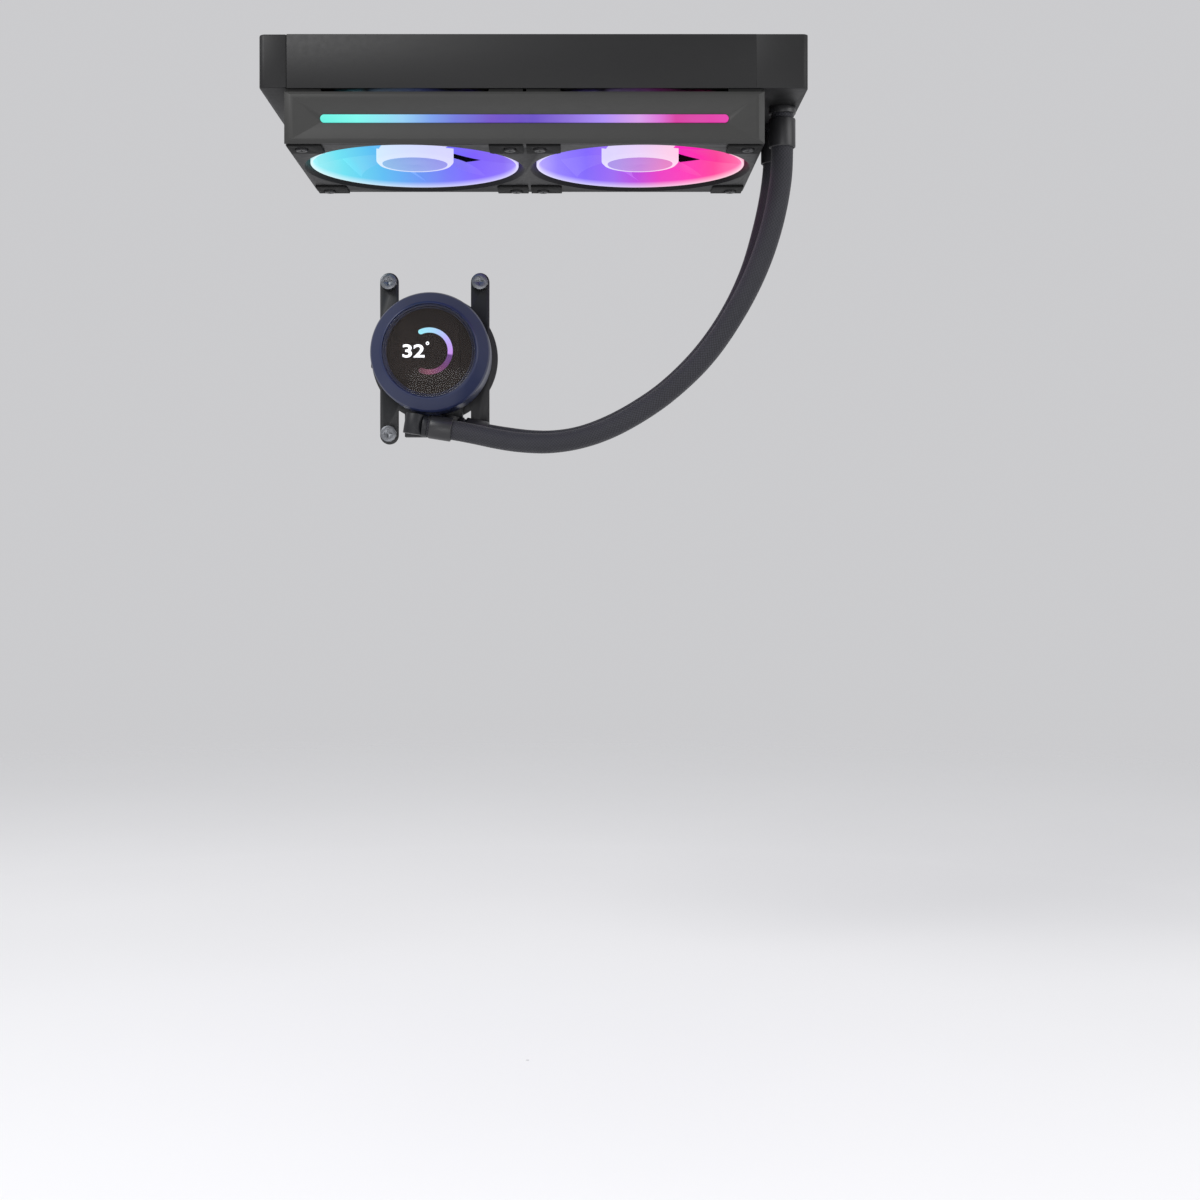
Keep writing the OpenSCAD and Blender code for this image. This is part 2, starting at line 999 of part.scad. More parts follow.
// Sheet-metal ring round the pump block, with a rail on each side for two standoffs
module mounting_bracket() {
  color([0.14, 0.14, 0.15])
    place_pump()
      translate([0, 0, 6])
        linear_extrude(2.5)
          difference() {
            union() {
              circle(r = block_r + 6.5);
              for (side = [-1, 1])
                translate([side * stud_x, 0])
                  rotate(90)
                    stadium(2 * stud_y + 12, 11);
            }
            circle(r = block_r + 0.4);
            for (sx = [-1, 1], sy = [-1, 1])
              translate([sx * stud_x, sy * stud_y])
                circle(r = thread_r + 0.3);
          }
}

// Places children at each standoff of the pump head
module at_studs() {
  place_pump()
    for (sx = [-1, 1], sy = [-1, 1])
      translate([sx * stud_x, sy * stud_y, 0])
        children();
}

module bracket_standoffs() {
  color([0.5, 0.5, 0.52])
    at_studs() {
      rod(1.75, -board_gap - 5, -board_gap);
      rod(3.2, -board_gap, 6);
      rod(thread_r, 6, 13);
    }
}

module thumb_nuts() {
  nut_r = 4.7;
  color([0.75, 0.76, 0.78])
    at_studs()
      difference() {
        union() {
          rod(nut_r - 0.7, 8.5, 10);
          rod(nut_r, 10, 15.5);
        }
        rod(thread_r + 0.02, 8.5 - cut, 13.2);
        around(12)
          translate([nut_r + 0.2, 0, 0])
            rod(0.6, 10 - cut, 14.6);
        for (turn = [0, 90])
          rotate([0, 0, turn])
            block([-2.4, -0.5, 14.2], [2.4, 0.5, 15.5 + cut]);
      }
}

module pump_cable_socket() {
  color([0.15, 0.15, 0.15])
    place_pump()
      difference() {
        translate([-30, 0, 12.8])
          mirror([1, 0, 0])
            socket([7, 12, 6.4], 1.2, 4);
        rod(block_r + 0.02, 9, 17);
      }
}

// An elbow from a socket on the shelf: up its stem, through a round knuckle, out along its barb
module elbow(i) {
  stem_r = 4.6;
  knuckle_r = 5.8;
  way_r = fitting_bore_r - 0.5;
  foot_z = shelf_top + seal_t;
  translate([port_x[i], port_y, 0])
    difference() {
      union() {
        rod(barb_r - 0.2, shelf_top - 4, foot_z);
        rod(stem_r, foot_z, elbow_z[i]);
        translate([0, 0, elbow_z[i]]) {
          rotate([90, 0, elbow_turn[i]])
            rod(knuckle_r, -knuckle_r, knuckle_r);
          rotate([0, 90, elbow_turn[i]]) {
            rod(6.4, 5, 7.5);
            mirror([0, 0, 1])
              translate([0, 0, -7.5])
                barb(14.5);
          }
        }
      }
      rod(way_r, shelf_top - 4 - cut, elbow_z[i]);
      translate([0, 0, elbow_z[i]])
        rotate([0, 90, elbow_turn[i]])
          rod(way_r + 0.3, -3, 22 + cut);
    }
}

module left_elbow() {
  color([0.07, 0.07, 0.08])
    place_pump()
      elbow(0);
}

module right_elbow() {
  color([0.07, 0.07, 0.08])
    place_pump()
      elbow(1);
}

module elbow_seals() {
  color([0.04, 0.04, 0.04])
    place_pump()
      for (x = port_x)
        translate([x, port_y, 0])
          tube(5.3, barb_r - 0.2, shelf_top, shelf_top + seal_t);
}

// ---- Hoses ----

module collar(z0, z1) {
  tube(collar_r, hose_d / 2 + collar_clear, z0, z1);
}

// Crimped sleeves over both ends of both hoses
module hose_collars() {
  color([0.1, 0.1, 0.11]) {
    for (side = [-1, 1])
      translate([fitting_x, side * fitting_y, 0])
        collar(-48, -33);
    place_pump()
      for (i = [0, 1])
        translate([port_x[i], port_y, elbow_z[i]])
          rotate([0, 90, elbow_turn[i]])
            collar(9, 22);
  }
}

function unit(v) = v / norm(v);

// Direction of a route at its point i
function heading(route, i) =
  unit(route[min(i + 1, len(route) - 1)] - route[max(i - 1, 0)]);

// Corners of the tube's ring at point i of a route
function ring(route, i) =
  let (ahead = heading(route, i), side = unit(cross(ahead, [0, 1, 0])), up = cross(side, ahead))
  [for (k = [0:hose_sides - 1])
    route[i] + hose_d / 2 * (cos(k * 360 / hose_sides) * side + sin(k * 360 / hose_sides) * up)];

// One closed tube along a route, a ring of corners at each of its points
module swept_hose(route) {
  rings = len(route);
  n = hose_sides;
  polyhedron(
    points = [for (i = [0:rings - 1]) each ring(route, i)],
    faces = concat(
      [[for (k = [0:n - 1]) k]],
      [for (i = [0:rings - 2], k = [0:n - 1])
        [i * n + k, (i + 1) * n + k, (i + 1) * n + (k + 1) % n, i * n + (k + 1) % n]],
      [[for (k = [n - 1:-1:0]) (rings - 1) * n + k]]));
}

module supply_hose() {
  color([0.16, 0.16, 0.17])
    swept_hose(supply_route);
}

module return_hose() {
  color([0.16, 0.16, 0.17])
    swept_hose(return_route);
}

near_side_channel();
far_side_channel();
core_side_plates();
flat_tubes();
fin_strips();
hose_end_tank();
return_end_tank();
header_plates();
tank_baffle();
tank_fittings();
fill_plug();
fill_plug_seal();
fan_frame();
frame_bezel();
light_bar_lens();
light_bar_board();
corner_pads();
fan_screws();
fan_cable_socket();
bearing_sleeves();
hub_leds();
left_fan_rotor();
left_rotor_yoke();
left_rotor_magnet();
left_rotor_shaft();
left_stator_core();
left_stator_coils();
left_motor_board();
right_fan_rotor();
right_rotor_yoke();
right_rotor_magnet();
right_rotor_shaft();
right_stator_core();
right_stator_coils();
right_motor_board();
cold_plate();
cold_plate_screws();
cold_plate_gasket();
pump_block();
impeller();
impeller_magnet();
impeller_shaft();
pump_stator();
pump_coils();
pump_board();
display_carrier();
display_board();
display_panel();
display_glass();
cover_ring();
mounting_bracket();
bracket_standoffs();
thumb_nuts();
pump_cable_socket();
left_elbow();
right_elbow();
elbow_seals();
hose_collars();
supply_hose();
return_hose();
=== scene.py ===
"""Looks of a sealed liquid cooler: a radiator, a lit double-fan frame, sleeved hoses and a pump head.

Everything is in metres in the frame's own axes: X along the radiator towards the hoses, Y from the
lit side towards the board behind the pump, Z up.
"""

import math

import bmesh
import bpy
import numpy as np
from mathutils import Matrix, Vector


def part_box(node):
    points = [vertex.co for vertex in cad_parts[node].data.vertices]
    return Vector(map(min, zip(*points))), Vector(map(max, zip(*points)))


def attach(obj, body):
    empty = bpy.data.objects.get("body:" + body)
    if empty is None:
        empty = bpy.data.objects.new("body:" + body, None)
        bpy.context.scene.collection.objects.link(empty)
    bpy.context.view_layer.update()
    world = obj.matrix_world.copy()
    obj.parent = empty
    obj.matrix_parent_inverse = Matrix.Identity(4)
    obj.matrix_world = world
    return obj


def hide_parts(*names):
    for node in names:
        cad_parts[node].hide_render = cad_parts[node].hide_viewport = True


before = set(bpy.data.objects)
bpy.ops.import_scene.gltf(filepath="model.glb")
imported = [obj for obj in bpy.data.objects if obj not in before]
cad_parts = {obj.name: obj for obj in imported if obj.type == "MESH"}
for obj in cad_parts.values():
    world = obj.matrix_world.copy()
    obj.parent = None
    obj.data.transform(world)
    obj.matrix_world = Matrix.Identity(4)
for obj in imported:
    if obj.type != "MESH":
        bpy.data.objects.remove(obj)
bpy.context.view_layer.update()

MM = 0.001
COOLER = "cooler"


def tone(red, green, blue):
    """A screen colour from 0 to 255 as the linear values that a shader takes."""
    share = np.array([red, green, blue]) / 255
    linear = np.where(share <= 0.04045, share / 12.92, ((share + 0.055) / 1.055) ** 2.4)
    return tuple(float(v) for v in linear)


# ---------------------------------------------------------------- camera


def make_camera():
    """A level camera in front of the cooler and below its fans, so that their undersides show."""
    camera = bpy.data.objects.new("camera", bpy.data.cameras.new("camera"))
    bpy.context.scene.collection.objects.link(camera)
    camera.location = (0.0245, -0.960, -0.259)
    camera.rotation_euler = (math.pi / 2, 0, 0)
    camera.data.lens = 54
    camera.data.sensor_width = 36
    camera.data.shift_x = 0.0221
    camera.data.shift_y = -0.04
    camera.data.clip_start = 0.01
    bpy.context.scene.camera = camera


make_camera()

# ---------------------------------------------------------------- shader maths


def plug(tree, socket, value):
    """Gives a socket a value, or the link that a Link holds."""
    if isinstance(value, Link):
        tree.links.new(value.socket, socket)
    elif isinstance(value, tuple) and len(value) == 3 and socket.type == "RGBA":
        socket.default_value = (*value, 1)
    else:
        socket.default_value = value


class Link:
    """An output of a material's nodes, which Python's operators turn into Math nodes."""

    def __init__(self, finish, socket):
        self.finish = finish
        self.socket = socket

    def math(self, operation, *values):
        return self.finish.node("Math", {"operation": operation}, dict(enumerate(values)))

    def __add__(self, other):
        return self.math("ADD", self, other)

    def __radd__(self, other):
        return self.math("ADD", other, self)

    def __sub__(self, other):
        return self.math("SUBTRACT", self, other)

    def __rsub__(self, other):
        return self.math("SUBTRACT", other, self)

    def __mul__(self, other):
        return self.math("MULTIPLY", self, other)

    def __rmul__(self, other):
        return self.math("MULTIPLY", other, self)

    def __truediv__(self, other):
        return self.math("DIVIDE", self, other)

    def __gt__(self, other):
        return self.math("GREATER_THAN", self, other)


class Finish:
    """One material: its nodes, its shader and short ways to make both."""

    def __init__(self, name, shader):
        self.material = bpy.data.materials.new(name)
        self.material.use_nodes = True
        self.tree = self.material.node_tree
        self.shader = self.tree.nodes["Principled BSDF"]
        for socket, value in shader.items():
            self.feed(socket, value)

    def feed(self, socket, value):
        """Sets one of the shader's sockets to a value or a link."""
        plug(self.tree, self.shader.inputs[socket], value)
        return self

    def node(self, kind, settings=None, inputs=None, output=0):
        """Adds a node: its settings first, then the values or links of its sockets."""
        node = self.tree.nodes.new("ShaderNode" + kind)
        for key, value in (settings or {}).items():
            if key == "stops":
                while len(node.color_ramp.elements) < len(value):
                    node.color_ramp.elements.new(1)
                for element, (place, colour) in zip(node.color_ramp.elements, value):
                    element.position = place
                    element.color = (*colour, 1)
            else:
                setattr(node, key, value)
        for key, value in (inputs or {}).items():
            plug(self.tree, node.inputs[key], value)
        return Link(self, node.outputs[output])

    def place(self):
        """Object coordinates, in metres of the frame."""
        return self.node("TexCoord", output="Object")

    def sheet(self):
        """The piece's own UV map."""
        return self.node("TexCoord", output="UV")

    def split(self, vector):
        """The three parts of a vector."""
        node = self.node("SeparateXYZ", None, {0: vector}).socket.node
        return [Link(self, output) for output in node.outputs]

    def noise(self, size, detail=2, vector=None):
        """Noise from 0 to 1 whose lumps are about size metres across."""
        inputs = {"Vector": vector or self.place(), "Scale": 1 / size, "Detail": detail}
        return self.node("TexNoise", None, inputs)

    def ramp(self, value, stops):
        """Colours along a value from 0 to 1."""
        return self.node("ValToRGB", {"stops": stops}, {"Fac": value})

    def blend(self, share, first, second):
        """A mix of two colours."""
        return self.node("Mix", {"data_type": "RGBA"}, {0: share, 6: first, 7: second}, 2)

    def relief(self, height, depth):
        """Turns a height from 0 to 1 into a bump of that depth in metres."""
        bump = self.node("Bump", None, {"Height": height, "Distance": depth})
        return self.feed("Normal", bump)


# ---------------------------------------------------------------- shapes


class Shape:
    """Points and four-sided faces of one piece, gathered grid by grid."""

    def __init__(self):
        self.points = []
        self.faces = []
        self.corners = []
        self.size = 0

    def add(self, grid, close_rows=False, close_columns=False):
        """Adds a grid of points, rows x columns x 3. A closed direction joins its last line to its
        first. Each face's corners keep their share of the way along both directions as a UV."""
        rows, columns = grid.shape[:2]
        steps = (rows - 1 + close_rows, columns - 1 + close_columns)
        i, j = (a.ravel() for a in np.meshgrid(*map(np.arange, steps), indexing="ij"))
        i = np.stack([i, i + 1, i + 1, i], axis=1)
        j = np.stack([j, j, j + 1, j + 1], axis=1)
        self.faces.append(self.size + i % rows * columns + j % columns)
        self.corners.append(np.stack([i / steps[0], j / steps[1]], axis=-1))
        self.points.append(grid.reshape(-1, 3))
        self.size += rows * columns
        return self

    def lid(self, ring):
        """Closes a ring of points towards its middle."""
        middle = np.broadcast_to(ring.mean(axis=0), ring.shape)
        return self.add(np.stack([ring, middle]), close_columns=True)

    def tube(self, grid):
        """Adds rows that are rings, with a lid on the first and the last."""
        return self.add(grid, close_columns=True).lid(grid[0]).lid(grid[-1])

    def turned(self, profile, sides=96):
        """Turns a closed profile of (radius, height) pairs about the third axis."""
        angle = np.linspace(0, 2 * np.pi, sides, endpoint=False)[:, None]
        radius, height = profile[None, :, 0], profile[None, :, 1]
        grid = np.stack([radius * np.cos(angle), radius * np.sin(angle), height + 0 * angle], -1)
        return self.add(grid, close_rows=True, close_columns=True)


def rounded(corners, radius, steps=4):
    """A closed outline with each corner replaced by an arc: points along the circle that touches
    both of the corner's edges, no larger than the shorter edge allows."""
    corners = np.array(corners, float)
    out = []
    for before, corner, after in zip(np.roll(corners, 1, 0), corners, np.roll(corners, -1, 0)):
        into, away = before - corner, after - corner
        reach_in, reach_out = np.hypot(*into), np.hypot(*away)
        into, away = into / reach_in, away / reach_out
        half = math.acos(np.clip(into @ away, -1, 1)) / 2
        if half > 1.55:
            continue
        reach = min(radius / math.tan(half), 0.45 * reach_in, 0.45 * reach_out)
        curve = reach * math.tan(half)
        middle = corner + (into + away) / np.hypot(*(into + away)) * curve / math.sin(half)
        start, end = (corner + reach * way - middle for way in (into, away))
        sweep = math.pi - 2 * half
        share = np.linspace(0, 1, steps + 1)[:, None]
        arc = np.sin((1 - share) * sweep) * start + np.sin(share * sweep) * end
        out.append(middle + arc / math.sin(sweep))
    return np.concatenate(out)


def smooth_route(points, spacing):
    """A curve through a list of points, as a centripetal Catmull-Rom spline, with its points the
    same distance apart."""
    points = np.array(points, float)
    points = np.vstack([2 * points[0] - points[1], points, 2 * points[-1] - points[-2]])
    knots = np.concatenate([[0], np.cumsum(np.linalg.norm(np.diff(points, axis=0), axis=1) ** 0.5)])
    curve = []
    for k in range(1, len(points) - 2):
        t0, t1, t2, t3 = knots[k - 1 : k + 3]
        p0, p1, p2, p3 = points[k - 1 : k + 3]
        t = np.linspace(t1, t2, 40, endpoint=False)[:, None]
        a1 = ((t1 - t) * p0 + (t - t0) * p1) / (t1 - t0)
        a2 = ((t2 - t) * p1 + (t - t1) * p2) / (t2 - t1)
        a3 = ((t3 - t) * p2 + (t - t2) * p3) / (t3 - t2)
        b1 = ((t2 - t) * a1 + (t - t0) * a2) / (t2 - t0)
        b2 = ((t3 - t) * a2 + (t - t1) * a3) / (t3 - t1)
        curve.append(((t2 - t) * b1 + (t - t1) * b2) / (t2 - t1))
    curve = np.vstack([*curve, points[-2:-1]])
    along = np.concatenate([[0], np.cumsum(np.linalg.norm(np.diff(curve, axis=0), axis=1))])
    at = np.linspace(0, along[-1], int(along[-1] / spacing) + 1)
    return np.stack([np.interp(at, along, curve[:, axis]) for axis in range(3)], axis=1)


def cross_frame(route):
    """Two directions across a route: one square to the frame's Y axis, one square to that."""
    ahead = np.gradient(route, axis=0)
    ahead /= np.linalg.norm(ahead, axis=1, keepdims=True)
    side = np.cross(ahead, [0, 1, 0])
    side /= np.linalg.norm(side, axis=1, keepdims=True)
    return side, np.cross(side, ahead)


def finished(name, mesh, finish, body, replaced, crease):
    """Gives a mesh its object, finish and body, and hides the CAD nodes that it stands for."""
    mesh.polygons.foreach_set("use_smooth", np.ones(len(mesh.polygons), bool))
    mesh.set_sharp_from_angle(angle=math.radians(crease))
    mesh.materials.clear()
    mesh.materials.append(finish.material)
    made = bpy.data.objects.new(name, mesh)
    bpy.context.scene.collection.objects.link(made)
    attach(made, body)
    if replaced:
        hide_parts(*replaced)
    return made


def piece(name, shape, finish, body=COOLER, replaced=(), crease=35):
    """Makes one piece of a shape, in metres: doubles merged, faces turned outwards."""
    mesh = bpy.data.meshes.new(name)
    faces = np.concatenate(shape.faces)
    mesh.from_pydata(np.concatenate(shape.points), [], faces.tolist())
    layer = mesh.uv_layers.new(name="UVMap")
    layer.data.foreach_set("uv", np.concatenate(shape.corners).astype(np.float32).ravel())
    work = bmesh.new()
    work.from_mesh(mesh)
    bmesh.ops.remove_doubles(work, verts=work.verts, dist=0.001 * MM)
    bmesh.ops.recalc_face_normals(work, faces=work.faces)
    work.to_mesh(mesh)
    work.free()
    return finished(name, mesh, finish, body, replaced, crease)


def softened(node, width, finish, body=COOLER, angle=25, segments=2):
    """A CAD node's shape with its triangles joined and its edges rounded by width."""
    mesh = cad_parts[node].data.copy()
    work = bmesh.new()
    work.from_mesh(mesh)
    bmesh.ops.remove_doubles(work, verts=work.verts, dist=0.001 * MM)
    bmesh.ops.dissolve_limit(
        work, angle_limit=math.radians(0.5), verts=work.verts, edges=work.edges, delimit=set()
    )
    work.to_mesh(mesh)
    work.free()
    rough = bpy.data.objects.new(node + "_rough", mesh)
    bpy.context.scene.collection.objects.link(rough)
    bevel = rough.modifiers.new("edges", "BEVEL")
    bevel.width = width
    bevel.segments = segments
    bevel.limit_method = "ANGLE"
    bevel.angle_limit = math.radians(angle)
    bevel.use_clamp_overlap = True
    shown = rough.evaluated_get(bpy.context.evaluated_depsgraph_get())
    smooth = bpy.data.meshes.new_from_object(shown)
    bpy.data.objects.remove(rough)
    return finished(node + "_shell", smooth, finish, body, (node,), 40)


# ---------------------------------------------------------------- finishes

STRANDS = 20
BRAID_TURNS = 8
# Height over which the painted highlight at a glow's rim fades out
RIM_PAINTED_HIGHLIGHT_FADE = 3 * MM


def moulded(name, colour, roughness, grain=0.35 * MM, depth=0.02 * MM, shine=0.5):
    """Moulded plastic or a fine coat: even colour with a faint mottle, and a shallow grain."""
    finish = Finish(name, {"Specular IOR Level": shine})
    mottle = finish.noise(12 * MM, 3)
    dark = tuple(0.86 * c for c in colour)
    finish.feed("Base Color", finish.blend(mottle, dark, colour))
    finish.feed("Roughness", roughness + 0.12 * (finish.noise(3 * MM) - 0.5))
    return finish.relief(finish.noise(grain, 3), depth)


def metal(name, colour, roughness, streak=None, depth=0.004 * MM):
    """Bare or plated metal: brushed along one axis if streak names it, mottled if not."""
    finish = Finish(name, {"Metallic": 1.0})
    stretch = [1.0, 1.0, 1.0]
    if streak is not None:
        stretch["XYZ".index(streak)] = 0.04
    inputs = {"Vector": finish.place(), "Scale": tuple(stretch)}
    grain = finish.noise(0.5 * MM, 3, finish.node("Mapping", None, inputs))
    dark = tuple(0.8 * c for c in colour)
    finish.feed("Base Color", finish.blend(grain, dark, colour))
    finish.feed("Roughness", roughness + 0.2 * (grain - 0.5))
    return finish.relief(grain, depth)


def board_finish():
    """Green solder mask with fine tracks and pale pads."""
    finish = Finish("circuit_board", {"Roughness": 0.35})
    x, y, z = finish.split(finish.place())
    columns, rows = x * 2500, z * 2500 + y * 1700
    tracks = columns.math("SINE", columns) * rows.math("SINE", rows)
    finish.feed("Base Color", finish.blend(tracks > 0.4, (0.012, 0.075, 0.04), (0.03, 0.14, 0.07)))
    pads = finish.noise(1.1 * MM, 0) > 0.68
    finish.feed("Metallic", pads * 0.8)
    return finish.relief(tracks > 0.4, 0.03 * MM)


# Colours of each glow, from its low X to its high X
LEFT_GLOW = [
    (0.0, tone(150, 235, 240)), (0.12, tone(95, 222, 238)), (0.30, tone(75, 185, 240)),
    (0.46, tone(88, 150, 242)), (0.62, tone(108, 112, 246)), (0.78, tone(122, 88, 255)),
    (0.92, tone(132, 100, 246)), (1.0, tone(160, 140, 245)),
]
RIGHT_GLOW = [
    (0.0, tone(180, 165, 250)), (0.10, tone(140, 118, 250)), (0.24, tone(120, 88, 250)),
    (0.38, tone(150, 92, 240)), (0.50, tone(186, 40, 222)), (0.62, tone(235, 5, 190)),
    (0.76, tone(255, 0, 178)), (0.88, tone(255, 35, 150)), (1.0, tone(255, 110, 170)),
]
BAR_GLOW = [
    (0.0, tone(88, 232, 214)), (0.09, tone(112, 240, 228)), (0.20, tone(138, 200, 235)),
    (0.27, tone(110, 150, 225)), (0.33, tone(98, 108, 210)), (0.42, tone(98, 58, 188)),
    (0.52, tone(86, 52, 184)), (0.61, tone(126, 94, 208)), (0.69, tone(162, 130, 236)),
    (0.78, tone(208, 148, 226)), (0.83, tone(212, 100, 205)), (0.87, tone(205, 28, 150)),
    (1.0, tone(222, 28, 162)),
]


def glow_finish(name, stops, low, high, pale=0.0, strength=1.0, base=0.05, far_pale=0.0, rim=None):
    """Milky plastic lit from inside: its colour runs from low X to high X, mixed with white by pale,
    plus a painted highlight that whitens it a little more towards the far side by the far-side share,
    and one that whitens it by a half at the height rim, from where that share falls to nothing one
    rim fade higher up."""
    finish = Finish(name, {
        "Roughness": 0.45, "Specular IOR Level": 0.2, "Emission Strength": strength,
    })
    x, y, z = finish.split(finish.place())
    colour = finish.ramp((x - low) / (high - low), stops)
    # Painted highlight: the glow is whitened towards the far side
    white_and_painted_highlight = (y / 0.056).math("MAXIMUM", y / 0.056, 0.0) * far_pale + pale
    # Painted highlight: a whiter band along the lower rim, fading upwards
    if rim is not None:
        edge = 0.5 - 0.5 * (z - rim) / RIM_PAINTED_HIGHLIGHT_FADE
        white_and_painted_highlight = white_and_painted_highlight + edge.math("MAXIMUM", edge, 0.0)
    milky = finish.blend(white_and_painted_highlight, colour, (1.0, 1.0, 1.0))
    cloud = finish.noise(9 * MM, 2)
    finish.feed("Emission Color", finish.blend(cloud * 0.12, milky, (0.35, 0.35, 0.5)))
    finish.feed("Base Color", finish.blend(1 - base, milky, (0.02, 0.02, 0.02)))
    return finish.relief(finish.noise(0.6 * MM), 0.004 * MM)


def wave(value, rate):
    """The sine of a link, rate half waves to each whole number."""
    return value.math("SINE", value * (rate * math.pi))


def sleeve_finish():
    """Braided yarn: two sets of strands cross over a dark hose, each on top in every other cell.
    The strands' own height comes from the mesh, the fibres along them from a fine bump. Each
    fibre's colour runs from a painted highlight to painted shade across it, and painted shade
    darkens the seams between strands, where the dark hose also shows."""
    finish = Finish("hose_sleeve", {
        "Roughness": 0.62, "Specular IOR Level": 0.35, "Sheen Weight": 0.15, "Sheen Roughness": 0.4,
    })
    along, around, _ = finish.split(finish.sheet())
    first = (along * BRAID_TURNS + around) * STRANDS
    second = (along * BRAID_TURNS - around) * STRANDS
    over = wave(first, 1) * wave(second, 1) > 0
    across = over * first + (1 - over) * second
    fibre = wave(across, 10) * 0.5 + 0.5
    # Painted shade, with the dark hose showing through, darkens the seams between strands
    seam_painted_shade_and_hose = wave(across, 1).math("ABSOLUTE", wave(across, 1))
    # The light and dark yarn tones across each fibre are a painted highlight and painted shade
    light, dark = tone(70, 70, 78), tone(34, 34, 40)
    yarn = finish.blend(seam_painted_shade_and_hose, tone(8, 8, 10), finish.blend(fibre, dark, light))
    finish.feed("Base Color", finish.blend(finish.noise(30 * MM) * 0.4, yarn, tone(24, 24, 30)))
    return finish.relief(fibre, 0.04 * MM)


def glass_finish():
    """Thin brown-tinted glass that lets most of the panel through, with the faintest ripple."""
    finish = Finish("display_glass", {"Alpha": 0.22, "IOR": 1.5})
    smear = finish.noise(14 * MM, 3)
    finish.feed("Base Color", finish.blend(smear, tone(46, 41, 38), tone(58, 51, 46)))
    finish.feed("Roughness", 0.05 + 0.06 * smear)
    return finish.relief(finish.noise(6 * MM, 1), 0.001 * MM)


def figure_finish(name, colour, strength):
    """A lit area of the display in one colour, with the panel's fine dots."""
    finish = Finish(name, {"Emission Strength": strength, "Roughness": 0.4})
    x, _, z = finish.split(finish.place())
    dots = (x * 9000).math("SINE", x * 9000) * (z * 9000).math("SINE", z * 9000)
    lit = finish.blend(dots > 0.6, colour, tuple(0.85 * c for c in colour))
    finish.feed("Emission Color", lit)
    return finish.feed("Base Color", lit)


def arc_finish():
    """The display's dial: bright from ice blue to lavender, then dim from purple to dark rose."""
    finish = Finish("dial_arc", {"Emission Strength": 1.5, "Roughness": 0.4})
    along, _, _ = finish.split(finish.sheet())
    colour = finish.ramp(along, [
        (0.0, tone(150, 232, 244)), (0.18, tone(166, 214, 246)), (0.36, tone(184, 172, 246)),
        (0.53, tone(196, 140, 232)), (0.55, tone(96, 52, 128)), (0.72, tone(104, 46, 100)),
        (0.88, tone(120, 58, 84)), (1.0, tone(70, 34, 46)),
    ])
    finish.feed("Emission Color", colour)
    return finish.feed("Base Color", finish.blend(0.8, colour, (0.02, 0.02, 0.02)))


black_coat = moulded("black_coat", tone(20, 20, 21), 0.5, 0.5 * MM, 0.03 * MM, 0.35)
core_coat = moulded("core_coat", tone(24, 24, 25), 0.45, shine=0.3)
fitting_coat = moulded("fitting_coat", tone(40, 40, 42), 0.36, shine=0.45)
frame_plastic = moulded("frame_plastic", tone(16, 16, 18), 0.42, 0.3 * MM, shine=0.22)
bezel_plastic = moulded("bezel_plastic", tone(46, 46, 45), 0.46, 0.25 * MM, 0.012 * MM, 0.4)
pump_plastic = moulded("pump_plastic", tone(24, 25, 29), 0.45, shine=0.35)
soft_rubber = moulded("soft_rubber", tone(20, 20, 20), 0.75, 0.4 * MM, shine=0.25)
# The ring's navy tint is a painted reflection of the fans' blue glow on its dark coat
ring_coat_painted_blue_glow = moulded("ring_coat_painted_blue_glow", tone(32, 40, 72), 0.34, 0.2 * MM, 0.008 * MM, 0.4)
bracket_coat = moulded("bracket_coat", tone(34, 35, 37), 0.42, shine=0.4)
panel_face = moulded("panel_face", tone(30, 24, 22), 0.5, 1 * MM, 0.001 * MM, 0.1)
pale_plastic = moulded("pale_plastic", tone(205, 202, 190), 0.4)
ceramic = moulded("ceramic", tone(235, 233, 226), 0.2)
chip_finish = moulded("light_chip", tone(240, 240, 225), 0.3)
steel = metal("steel", tone(170, 172, 176), 0.32, "Z")
bare_aluminium = metal("bare_aluminium", tone(178, 178, 180), 0.4, "X")
ferrite = metal("ferrite", tone(70, 70, 72), 0.6)
copper_wire = metal("copper_wire", tone(196, 110, 60), 0.35)
bronze = metal("bronze", tone(190, 150, 90), 0.4)
bare_copper = metal("bare_copper", tone(214, 138, 104), 0.25, "X")
nut_plate = metal("nut_plate", tone(120, 122, 126), 0.34, "Y")
circuit = board_finish()
sleeve = sleeve_finish()

# ---------------------------------------------------------------- hoses

HOSE_D = 11.5 * MM
SUPPLY_ROUTE = [
    (133.5, -20, -30.5), (133.5, -20, -48), (132.8, -18.5, -65), (129, -13, -87),
    (122, -3.5, -109), (111, 8, -131), (96, 21, -152.5), (77.5, 34, -170),
    (60.5, 44, -181.5), (43.5, 52.5, -190), (27, 60, -195), (10, 66.5, -197),
    (-7, 72.5, -196), (-20, 76.5, -193.8), (-32.5, 79.6, -191), (-44.8, 81, -188.6),
    (-60.1, 81, -186.2),
]
RETURN_ROUTE = [
    (133.5, 20, -30.5), (133.5, 20, -48), (131.8, 20.5, -64), (127.5, 23, -85),
    (121, 27.5, -107), (110.5, 33.5, -129), (96, 41.5, -149.5), (77.5, 51, -167.5),
    (60.5, 59, -179), (43.5, 66.5, -187.5), (28, 74, -192.5), (13.5, 81, -194.3),
    (0, 87.3, -193.8), (-13, 92.3, -192), (-25.5, 95, -189.8), (-40.7, 95, -186.6),
]


